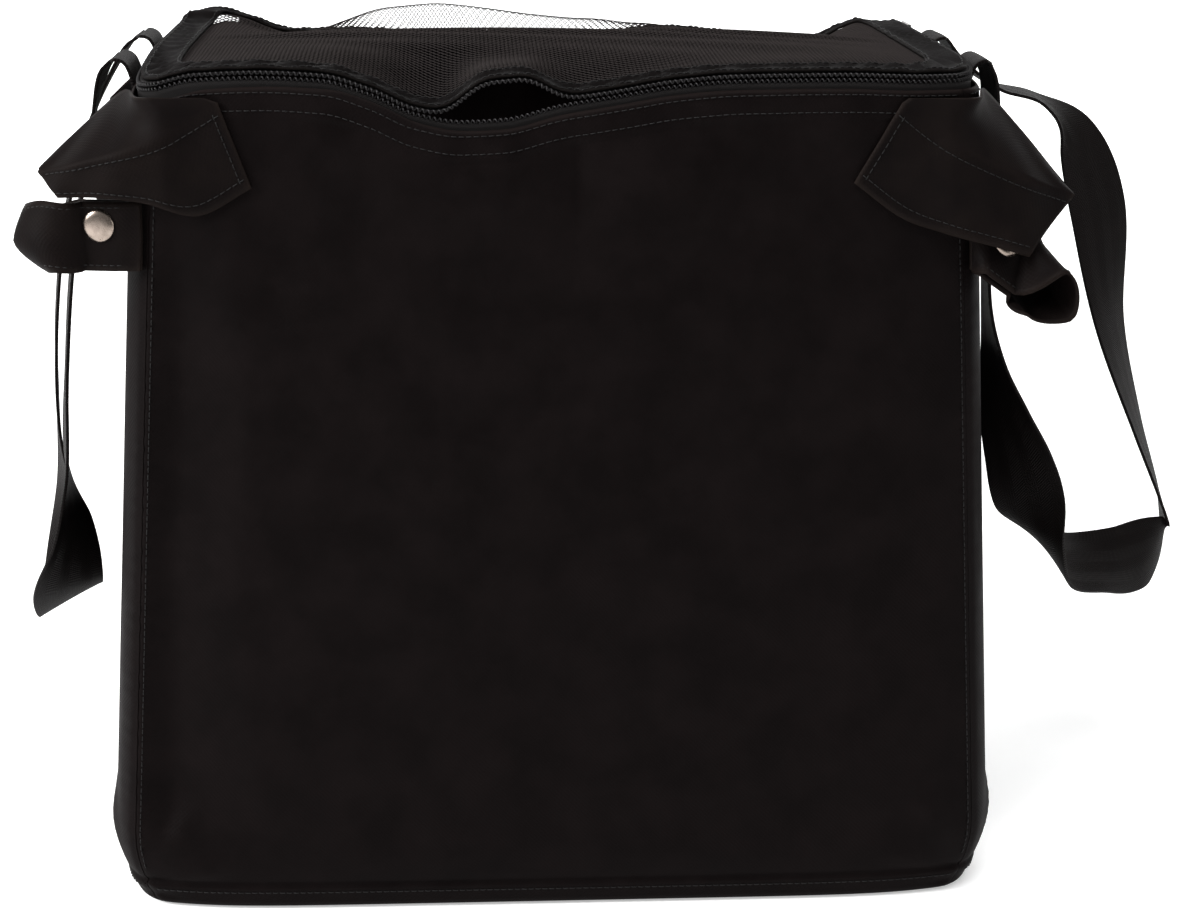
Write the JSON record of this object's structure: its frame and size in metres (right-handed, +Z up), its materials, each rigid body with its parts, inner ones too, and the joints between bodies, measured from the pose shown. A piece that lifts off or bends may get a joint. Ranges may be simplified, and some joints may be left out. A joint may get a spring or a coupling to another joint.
{
  "type": "ball cart bag",
  "caption": "Boxy open-topped fabric ball bag with a zipped net lid, corner hoods and snap straps that hold it on a cart's arms, and a webbing handle on each side.",
  "frame": {"origin": "centre of the bag's underside, on the ground", "axes": "+X to the bag's right as seen from its front, +Y to its back, +Z up; the long front panel faces -Y"},
  "size_m": [0.6315, 0.2941, 0.42],
  "materials": {
    "front_panel": "black coated polyester, satin",
    "back_panel": "black coated polyester, satin",
    "left_panel": "black coated polyester, satin",
    "right_panel": "black coated polyester, satin",
    "bottom_panel": "black coated polyester, satin",
    "base_board": "black board",
    "seam_binding_front_left": "black woven tape, matt",
    "seam_binding_front_right": "black woven tape, matt",
    "seam_binding_back_left": "black woven tape, matt",
    "seam_binding_back_right": "black woven tape, matt",
    "rim_zip_tape": "black woven tape, matt",
    "rim_zip_coil": "black nylon coil",
    "zip_stop_left": "dark coated metal",
    "zip_stop_right": "dark coated metal",
    "lid_hinge_tape": "black woven tape, matt",
    "hood_front_left": "black coated polyester, satin",
    "hood_front_right": "black coated polyester, satin",
    "hood_back_left": "black coated polyester, satin",
    "hood_back_right": "black coated polyester, satin",
    "handle_root_left_front": "black woven webbing, matt",
    "handle_root_left_back": "black woven webbing, matt",
    "handle_root_right_front": "black woven webbing, matt",
    "handle_root_right_back": "black woven webbing, matt",
    "lid_border": "black coated polyester, satin",
    "lid_net": "black knitted net",
    "lid_zip_tape": "black woven tape, matt",
    "lid_zip_coil": "black nylon coil",
    "handle_left": "black woven webbing, matt",
    "handle_right": "black woven webbing, matt",
    "zip_slider": "dark coated metal",
    "zip_pull": "dark coated metal",
    "snap_strap_front_left": "black coated polyester, satin",
    "snap_cap_front_left": "nickel plated",
    "snap_socket_front_left": "nickel plated",
    "snap_stud_front_left": "nickel plated",
    "snap_post_front_left": "nickel plated",
    "snap_strap_front_right": "black coated polyester, satin",
    "snap_cap_front_right": "nickel plated",
    "snap_socket_front_right": "nickel plated",
    "snap_stud_front_right": "nickel plated",
    "snap_post_front_right": "nickel plated",
    "snap_strap_back_left": "black coated polyester, satin",
    "snap_cap_back_left": "nickel plated",
    "snap_socket_back_left": "nickel plated",
    "snap_stud_back_left": "nickel plated",
    "snap_post_back_left": "nickel plated",
    "snap_strap_back_right": "black coated polyester, satin",
    "snap_cap_back_right": "nickel plated",
    "snap_socket_back_right": "nickel plated",
    "snap_stud_back_right": "nickel plated",
    "snap_post_back_right": "nickel plated"
  },
  "bodies": {
    "bag": {"front_panel": "front_panel", "back_panel": "back_panel", "left_panel": "left_panel", "right_panel": "right_panel", "bottom_panel": "bottom_panel", "base_board": "base_board", "seam_binding_front_left": "seam_binding_front_left", "seam_binding_front_right": "seam_binding_front_right", "seam_binding_back_left": "seam_binding_back_left", "seam_binding_back_right": "seam_binding_back_right", "rim_zip_tape": "rim_zip_tape", "rim_zip_coil": "rim_zip_coil", "zip_stop_left": "zip_stop_left", "zip_stop_right": "zip_stop_right", "lid_hinge_tape": "lid_hinge_tape", "hood_front_left": "hood_front_left", "hood_front_right": "hood_front_right", "hood_back_left": "hood_back_left", "hood_back_right": "hood_back_right", "handle_root_left_front": "handle_root_left_front", "handle_root_left_back": "handle_root_left_back", "handle_root_right_front": "handle_root_right_front", "handle_root_right_back": "handle_root_right_back"},
    "lid": {"lid_border": "lid_border", "lid_net": "lid_net", "lid_zip_tape": "lid_zip_tape", "lid_zip_coil": "lid_zip_coil"},
    "left_handle": {"handle_left": "handle_left"},
    "right_handle": {"handle_right": "handle_right"},
    "strap_front_left": {"snap_strap_front_left": "snap_strap_front_left", "snap_cap_front_left": "snap_cap_front_left", "snap_socket_front_left": "snap_socket_front_left", "snap_stud_front_left": "snap_stud_front_left", "snap_post_front_left": "snap_post_front_left"},
    "strap_front_right": {"snap_strap_front_right": "snap_strap_front_right", "snap_cap_front_right": "snap_cap_front_right", "snap_socket_front_right": "snap_socket_front_right", "snap_stud_front_right": "snap_stud_front_right", "snap_post_front_right": "snap_post_front_right"},
    "strap_back_left": {"snap_strap_back_left": "snap_strap_back_left", "snap_cap_back_left": "snap_cap_back_left", "snap_socket_back_left": "snap_socket_back_left", "snap_stud_back_left": "snap_stud_back_left", "snap_post_back_left": "snap_post_back_left"},
    "strap_back_right": {"snap_strap_back_right": "snap_strap_back_right", "snap_cap_back_right": "snap_cap_back_right", "snap_socket_back_right": "snap_socket_back_right", "snap_stud_back_right": "snap_stud_back_right", "snap_post_back_right": "snap_post_back_right"},
    "slider": {"zip_slider": "zip_slider"},
    "pull": {"zip_pull": "zip_pull"}
  },
  "joints": [
    {"name": "lid_hinge", "type": "hinge", "parent": "bag", "child": "lid", "pos_m": [0, 0.13725, 0.41235], "axis": [-1, 0, 0], "range_deg": [0, 180]},
    {"name": "left_handle_fold", "type": "hinge", "parent": "bag", "child": "left_handle", "pos_m": [-0.209, 0, 0.41], "axis": [0, 1, 0], "range_deg": [0, 160]},
    {"name": "right_handle_fold", "type": "hinge", "parent": "bag", "child": "right_handle", "pos_m": [0.209, 0, 0.41], "axis": [0, -1, 0], "range_deg": [0, 160]},
    {"name": "zip_run", "type": "slide", "parent": "bag", "child": "slider", "axis": [0, -1, 0], "range_m": [0, 0.15]},
    {"name": "pull_hinge", "type": "hinge", "parent": "slider", "child": "pull", "pos_m": [0.1983, 0.078, 0.4089], "axis": [0, 0, -1], "range_deg": [0, 100]},
    {"name": "strap_fold_front_left", "type": "hinge", "parent": "bag", "child": "strap_front_left", "pos_m": [-0.19025, -0.1318, 0.3365], "axis": [0, 0, 1], "range_deg": [-12, 60]},
    {"name": "strap_fold_front_right", "type": "hinge", "parent": "bag", "child": "strap_front_right", "pos_m": [0.19009, -0.1318, 0.339], "axis": [0, 0, -1], "range_deg": [-15, 10]},
    {"name": "strap_fold_back_left", "type": "hinge", "parent": "bag", "child": "strap_back_left", "pos_m": [-0.19066, 0.1318, 0.33], "axis": [0, 0, -1], "range_deg": [-15, 60]},
    {"name": "strap_fold_back_right", "type": "hinge", "parent": "bag", "child": "strap_back_right", "pos_m": [0.19142, 0.1318, 0.318], "axis": [0, 0, 1], "range_deg": [-12, 60]}
  ]
}
